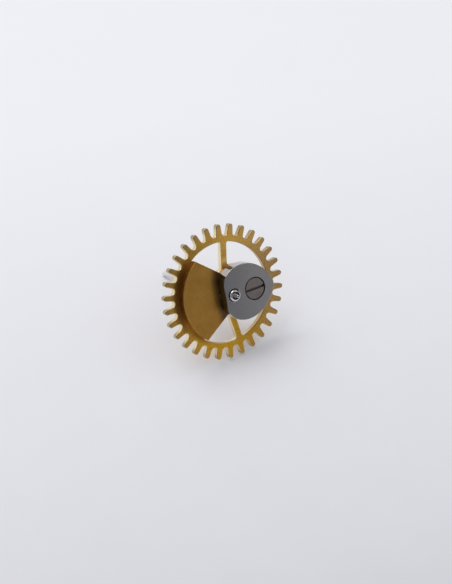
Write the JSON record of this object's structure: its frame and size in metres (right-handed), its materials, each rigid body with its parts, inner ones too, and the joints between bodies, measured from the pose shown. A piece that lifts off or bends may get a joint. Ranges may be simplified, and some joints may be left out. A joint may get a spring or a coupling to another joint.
{
  "type": "chronograph minute recording wheel",
  "caption": "Toothed recording wheel on a steel arbor with a heart cam set by a screw, a sector counterweight, pivots and a hand seat.",
  "frame": {"origin": "on the arbor's axis, at the shoulder of the rear pivot", "axes": "+Z along the arbor towards the front pivot, +X towards the tip of the heart cam"},
  "size_m": [0.006, 0.006, 0.0068],
  "materials": {
    "polished_steel": "polished",
    "collet_brass": "turned",
    "gilt_brass": "gilt, satin",
    "plate_brass": "fine grained",
    "cam_steel": "satin face, polished edge",
    "screw_steel": "satin"
  },
  "bodies": {
    "runner": {"arbor": "polished_steel", "collet": "collet_brass", "toothed_wheel": "gilt_brass", "counterweight": "plate_brass"},
    "cam": {"heart_cam": "cam_steel"},
    "screw": {"cam_screw": "screw_steel"}
  },
  "joints": [
    {"name": "cam_setting", "type": "hinge", "parent": "runner", "child": "cam", "pos_m": [0, 0, 0.002], "axis": [0, 0, 1], "range_deg": [-2, 2]},
    {"name": "screw_turn", "type": "hinge", "parent": "runner", "child": "screw", "pos_m": [0.00106, 0, 0.002], "axis": [0, 0, 1], "continuous": true}
  ]
}
